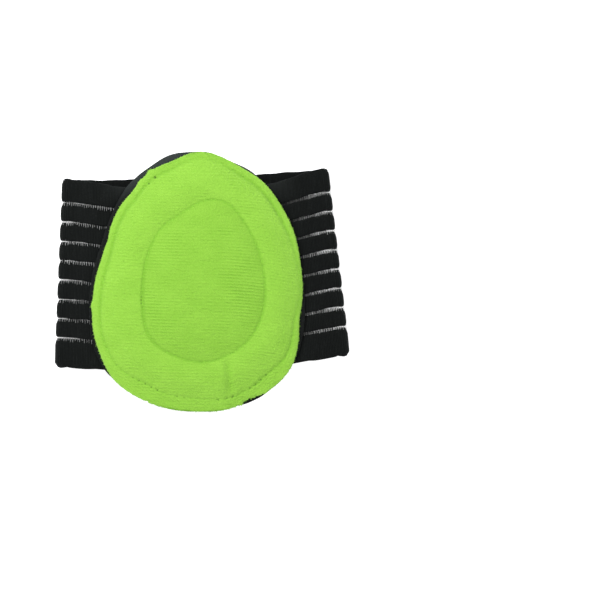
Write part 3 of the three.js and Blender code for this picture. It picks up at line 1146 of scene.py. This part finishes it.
def knit_grid(mesh, cover):
    """Fills a mesh with the knit's grid, and returns where its corners lie, seen from above."""
    rows = np.arange(KNIT_FROM, KNIT_TO, cover.rib_pitch / ROWS_PER_RIB)
    rows = rows[inside_cut(*rib_row_places(rows, 0 * rows)) > 0.02]
    left, right = row_end(rows, -1), row_end(rows, 1)
    _, column, row = lattice(mesh, KNIT_COLUMNS, len(rows) - 1)
    across = column / KNIT_COLUMNS
    across = across - CROWDING * np.sin(across * math.tau) / math.tau
    u, v = left[row] + (right[row] - left[row]) * across, rows[row]
    x, y = rib_row_places(v, u)
    # Over the insert, the ribs are plain to see at its sides and fade in its middle, top and bottom.
    faint = np.maximum(groove(x - INSERT.x + 1, 9), smooth(np.abs(y - INSERT.y - 5), 14, 27))
    return SimpleNamespace(
        row=row,
        column=column,
        shape=(len(rows), KNIT_COLUMNS + 1),
        u=u,
        v=v,
        x=x,
        y=y,
        plan=np.column_stack([x, y]),
        inset=inside_cut(x, y),
        within=smooth(1.02 - egg_level(INSERT, x, y), 0, 0.06),
        faint=faint,
    )


def rib_strength(knit):
    """How far the knit's ribs stand out: least at the cut edge and most over the insert's right side."""
    uneven = 0.5 * ripple(knit.u + 0.6 * knit.v, 31, 37, 21, 12)
    uneven = uneven + 0.5 * ripple(knit.v - 0.5 * knit.u, 32, 29, 17, 9)
    right_side = smooth(knit.x, 6, 18) * (1 - knit.faint)
    strength = 0.55 + (0.65 + 0.5 * right_side - 0.85 * knit.faint) * knit.within
    return strength * smooth(knit.inset, 0.5, 3) * np.clip(0.75 + 0.5 * uneven, 0.35, 1.2)


def seams_near(knit):
    """The rim's and the insert's seam: how far each is, how plainly it shows, and 1 at its lower end."""
    degrees = np.degrees(np.arctan2(*egg_frame(PAD, knit.x, knit.y)[::-1])) % 360
    about = np.degrees(np.arctan2(knit.y - INSERT.y, knit.x - INSERT.x)) % 360
    to_edge = knit.inset + (waves(CUT_WAVES, degrees) - cut_edge(degrees))
    level = np.maximum(egg_level(INSERT, knit.x, knit.y), 0.1)
    to_middle = np.hypot(knit.x - INSERT.x, knit.y - INSERT.y)
    rim = SimpleNamespace(away=to_edge - around(RIM_INSET, degrees), shows=around(RIM_SHOWS, degrees))
    insert = SimpleNamespace(away=to_middle * (1 - 1 / level), shows=around(INSERT_SHOWS, about))
    rim.low = groove(turned(degrees, 268), 52) ** 0.5
    insert.low = groove(turned(about, 275), 60)
    return rim, insert


def needle_marks(knit, rim, insert, stitches, rng):
    """The dimples at the needle holes and specks, and how much darker they are painted; at the needle holes
    that is painted shade. Some stitches are pulled tighter.
    """
    dips, holes = np.zeros(len(knit.plan)), np.zeros(len(knit.plan))
    shown = rim.shows * (0.25 + 0.95 * rim.low), insert.shows * (0.3 + 0.4 * insert.low)
    for line, shows in zip(seam_lines(stitches), shown):
        pulled = rng.random(len(line)) < 0.45
        for part, strength in ((line[pulled], 1.0), (line[~pulled], 0.6)):
            away = nearest(knit.plan, part)
            dips += strength * shows * groove(away, stitches.hole_width)
            holes += strength * shows * groove(away, 0.8 * stitches.hole_width)
    for x, y, size, depth in SPECKS:
        spot = depth * groove(np.hypot(knit.x - x, knit.y - y), size)
        dips += 0.5 * spot
        holes += spot
    return dips, holes


def close_below(mesh):
    """Gives the knit its cut edge and its underside, which lies on the backing."""
    shape = bmesh.new()
    shape.from_mesh(mesh)
    bmesh.ops.recalc_face_normals(shape, faces=shape.faces)
    middle = Vector(in_metres((0, 0, 0)))
    edges = [e for e in shape.edges if e.is_boundary]
    widest = None
    for level, reach in UNDERSIDE:
        made = bmesh.ops.extrude_edge_only(shape, edges=edges)["geom"]
        corners = [g for g in made if isinstance(g, bmesh.types.BMVert)]
        edges = [g for g in made if isinstance(g, bmesh.types.BMEdge)]
        far = max((corner.co.xy - middle.xy).length for corner in corners)
        widest = widest or far
        step = reach / (far / widest)
        for corner in corners:
            corner.co.xy = middle.xy + (corner.co.xy - middle.xy) * step
            place = corner.co / MM
            low = (COVER_HEIGHT - float(belly(place.x - SHIFT[0], place.y - SHIFT[1]))) * MM
            corner.co.z = low if level == 0 else low + (corner.co.z - low) * level
    bmesh.ops.contextual_create(shape, geom=edges)
    bmesh.ops.triangulate(shape, faces=[f for f in shape.faces if len(f.verts) > 4])
    bmesh.ops.recalc_face_normals(shape, faces=shape.faces)
    shape.to_mesh(mesh)
    shape.free()


class SLEEVE_OT_pad_cover(bpy.types.Operator):
    """Make the quilted cushion: ribbed terry knit over foam, puffed by a cloth simulation"""

    bl_idname = "sleeve.pad_cover"
    bl_label = "Pad cover"

    def execute(self, context):
        cover, stitches = sizes("sleeve_cover"), sizes("sleeve_stitches")
        tree = puffed_cushion(cover)
        mesh = bpy.data.meshes.new("pad_cover_knit")
        knit = knit_grid(mesh, cover)
        rng = np.random.default_rng(8)
        loops = soft_random(rng, knit.shape, (2, 1))[knit.row, knit.column]
        ribbed = rib_strength(knit)
        crown = 0.5 + 0.5 * np.cos(knit.v * math.tau / cover.rib_pitch)
        folded = crease(knit.x, knit.y)
        rim, insert = seams_near(knit)
        dips, holes = needle_marks(knit, rim, insert, stitches, rng)
        pressed = 0.75 * rim.shows * groove(rim.away, 0.75) * (1 - 0.95 * rim.low)
        pressed += insert.shows * groove(insert.away, 0.45)

        height = height_on(tree, knit.plan)
        height += cover.rib_relief * (crown - 0.5) * ribbed
        height += cover.pile_relief * loops * (1 - 0.45 * knit.within * (1 - knit.faint))
        height -= 0.35 * np.exp(-knit.inset / 0.35)
        height += folded
        height += 0.35 * rim.low * groove(rim.away, 1.9) * smooth(knit.inset, 0, 1.5)
        height -= stitches.hole_depth * dips + stitches.seam_depth * pressed
        height -= belly(knit.x, knit.y)
        set_places(mesh, np.column_stack([knit.plan, height + COVER_HEIGHT]))

        # Painted shade: the 'sewn' number darkens the knit in its pressed seams, beside the insert's seam and
        # in the crease's valley, and also darkens the knit over the insert by the insert darkening share. The
        # 'proud' number paints light on the rib crowns and shade between them, and the 'hole' number paints
        # shade in the needle holes and darkens the specks.
        shadow = 1.3 * insert.shows**1.5 * groove(insert.away, 0.45) + 0.35 * np.maximum(0, -folded)
        set_numbers(mesh, "cloth", np.column_stack([knit.u, knit.v, 0 * knit.v]))
        set_numbers(mesh, "proud", 0.5 + (crown - 0.5) * np.clip(ribbed, 0, 1.5))
        set_numbers(mesh, "sewn", pressed + shadow + cover.insert_darkening * knit.within)
        set_numbers(mesh, "hole", np.clip(holes, 0, 1))
        close_below(mesh)
        piece = finished("pad_cover_knit", mesh, knit_finish(cover), "pad_cover")
        return {"FINISHED"}


# Stitches and cut fibres


def surface_tree(name):
    """A finished piece's surface, to lay threads on, in millimetres in the pad's own frame."""
    mesh = bpy.data.objects[name].data
    return BVHTree.FromPolygons([Vector(p) for p in get_places(mesh)], [p.vertices[:] for p in mesh.polygons])


def drop(tree, place, start, way):
    """Height at which a cloth is met over a place, going up or down from a start height."""
    hit = tree.ray_cast(Vector((*place, start)), Vector((0, 0, way)))[0]
    if hit is None:
        raise RuntimeError(f"no cloth under the stitch at {place}")
    return hit.z


# A stitch's thread: the shares of its length where its points lie, and their heights over the cloth, which
# are below 0 because it sinks in
STITCH_ALONG = np.array([0.06, 0.25, 0.5, 0.75, 0.94])
STITCH_ARCH = np.array([-0.3, -0.1, -0.07, -0.1, -0.3])


class SLEEVE_OT_stitches(bpy.types.Operator):
    """Sew the cushion to its backing: one row near its edge and one round its insert"""

    bl_idname = "sleeve.stitches"
    bl_label = "Stitches"

    def execute(self, context):
        stitches = sizes("sleeve_stitches")
        top, under = surface_tree("pad_cover_knit"), surface_tree("pad_backing_cloth")
        green, black = [], []
        for line in seam_lines(stitches):
            for first, second in zip(line, np.roll(line, -1, axis=0)):
                places = first + (second - first) * STITCH_ALONG[:, None]
                upper = np.array([drop(top, place, 60, -1) for place in places])
                lower = np.array([drop(under, place, 0, 1) for place in places])
                tight = upper.mean() * 0.5 + upper * 0.5
                green.append((np.column_stack([places, tight + STITCH_ARCH]), stitches.thread / 2))
                black.append((np.column_stack([places, lower - STITCH_ARCH]), stitches.thread / 2))
        for name, paths, thread, tone in (
            ("green_stitches", green, "green_thread", stitches.green),
            ("black_stitches", black, "black_thread", stitches.black),
        ):
            finished(name, thread_mesh(name, paths, 1), thread_finish(thread, tone))
        return {"FINISHED"}


# Degrees from one cut fibre to the next
FIBRE_STEP = 0.42


class SLEEVE_OT_cut_fibres(bpy.types.Operator):
    """Fray the cut edge of the knit with short fibres"""

    bl_idname = "sleeve.cut_fibres"
    bl_label = "Cut fibres"

    def execute(self, context):
        cover = sizes("sleeve_cover")
        rng = np.random.default_rng(14)
        paths = []
        even = np.arange(0, 360, FIBRE_STEP)
        for degrees in even + rng.uniform(-0.2, 0.2, len(even)):
            frayed = groove(degrees - 300, 8) + groove(degrees - 112, 3)
            size = rng.uniform(0.12, 0.42) * (1 + 0.9 * frayed)
            base = egg_point(PAD, degrees, float(cut_edge(np.array([degrees]))[0]))
            out = np.array([*base, 0]) / np.linalg.norm(base)
            out[:2] += rng.normal(0, 0.35, 2)
            out[2] = rng.normal(0.05, 0.3)
            root = np.array([*base, COVER_HEIGHT + rng.uniform(0.25, 0.95)])
            bend = rng.normal(0, 0.1, 3)
            points = [root - out * 0.15, root + out * size * 0.5 + bend * 0.4, root + out * size + bend]
            paths.append((points, np.array([0.07, 0.06, 0.03])))
        mesh = thread_mesh("cut_fibres", paths)
        finished("cut_fibres", mesh, thread_finish("green_fibre", cover.lime))
        return {"FINISHED"}


# The stage


# In metres in the row frame: each lamp's name, whose power it takes, the share of it, its width and place
LAMPS = (
    ("key", "key", 1, 0.7, (-0.33, 0.47, 0.64)),
    ("fill right", "fill", 0.6, 0.9, (0.95, 0.25, 0.75)),
    ("fill near", "fill", 1, 0.9, (-0.1, -1.0, 0.75)),
)
TABLE_HALF_WIDTH = 3

# In millimetres in the pad's own frame
VIEW_MIDDLE = (41.2, 4.1, 12)


def add_camera(stage):
    """A camera that looks straight down."""
    lens = bpy.data.cameras.new("camera")
    lens.sensor_width = 36
    lens.lens = lens.sensor_width * stage.camera_height / stage.view_width
    lens.clip_start, lens.clip_end = 0.1, 20
    camera = bpy.data.objects.new("camera", lens)
    bpy.context.scene.collection.objects.link(camera)
    x, y, z = in_metres(VIEW_MIDDLE)
    camera.location = (x, y, z + stage.camera_height)
    bpy.context.scene.camera = camera


def add_table(stage):
    """A pale table that glows a little."""
    shape = bmesh.new()
    bmesh.ops.create_grid(shape, x_segments=1, y_segments=1, size=TABLE_HALF_WIDTH)
    mesh = bpy.data.meshes.new("table")
    shape.to_mesh(mesh)
    shape.free()
    finish = Finish("table", Roughness=0.9, Specular_IOR_Level=0.1)
    place = finish.node("ShaderNodeTexCoord").outputs["Object"]
    pale = [c * 0.98 for c in stage.table[:3]] + [1]
    finish.paint(finish.blend(finish.noise(place, 3.0), pale, tuple(stage.table)))
    finish.shader.inputs["Emission Color"].default_value = (1, 1, 1, 1)
    finish.shader.inputs["Emission Strength"].default_value = stage.glow
    mesh.materials.append(finish.material)
    table = bpy.data.objects.new("table", mesh)
    bpy.context.scene.collection.objects.link(table)


def add_lights(stage):
    """Three round soft lights that face the sleeve, and a dim white sky."""
    for name, group, part, size, place in LAMPS:
        lamp = bpy.data.lights.new(name, "AREA")
        lamp.shape = "DISK"
        lamp.size = size
        lamp.energy = part * getattr(stage, group)
        light = bpy.data.objects.new(name, lamp)
        light.location = place
        light.rotation_mode = "QUATERNION"
        light.rotation_quaternion = (-light.location).to_track_quat("-Z", "Y")
        bpy.context.scene.collection.objects.link(light)
    world = bpy.data.worlds.new("sky")
    world.use_nodes = True
    background = world.node_tree.nodes["Background"]
    background.inputs["Color"].default_value = (1, 1, 1, 1)
    background.inputs["Strength"].default_value = stage.sky
    bpy.context.scene.world = world


class SLEEVE_OT_stage(bpy.types.Operator):
    """Set the camera straight above the sleeve, with a pale table and soft light"""

    bl_idname = "sleeve.stage"
    bl_label = "Stage"

    def execute(self, context):
        stage = context.scene.sleeve_stage
        add_camera(stage)
        add_table(stage)
        add_lights(stage)
        context.scene.view_settings.view_transform = "Standard"
        return {"FINISHED"}


class SLEEVE_PT_pieces(bpy.types.Panel):
    """The sleeve's pieces, in the order in which they are made"""

    bl_idname = "SLEEVE_PT_pieces"
    bl_label = "Arch support sleeve"
    bl_space_type = "VIEW_3D"
    bl_region_type = "UI"
    bl_category = "Sleeve"

    def draw(self, context):
        for operator in OPERATORS:
            self.layout.operator(operator.bl_idname)
        for name, group in GROUPS.items():
            box = self.layout.box()
            for prop in group.__annotations__:
                box.prop(getattr(context.scene, name), prop)


OPERATORS = (
    SLEEVE_OT_stage,
    SLEEVE_OT_clear_threads,
    SLEEVE_OT_elastic_ribs,
    SLEEVE_OT_pad_backing,
    SLEEVE_OT_pad_cover,
    SLEEVE_OT_stitches,
    SLEEVE_OT_cut_fibres,
)


def register():
    for group in (*GROUPS.values(), *OPERATORS, SLEEVE_PT_pieces):
        bpy.utils.register_class(group)
    for name, group in GROUPS.items():
        setattr(bpy.types.Scene, name, bpy.props.PointerProperty(type=group))


def unregister():
    for name in GROUPS:
        delattr(bpy.types.Scene, name)
    for group in reversed((*GROUPS.values(), *OPERATORS, SLEEVE_PT_pieces)):
        bpy.utils.unregister_class(group)


def main():
    register()
    for operator in OPERATORS:
        group, name = operator.bl_idname.split(".")
        getattr(getattr(bpy.ops, group), name)()


if __name__ == "__main__":
    main()
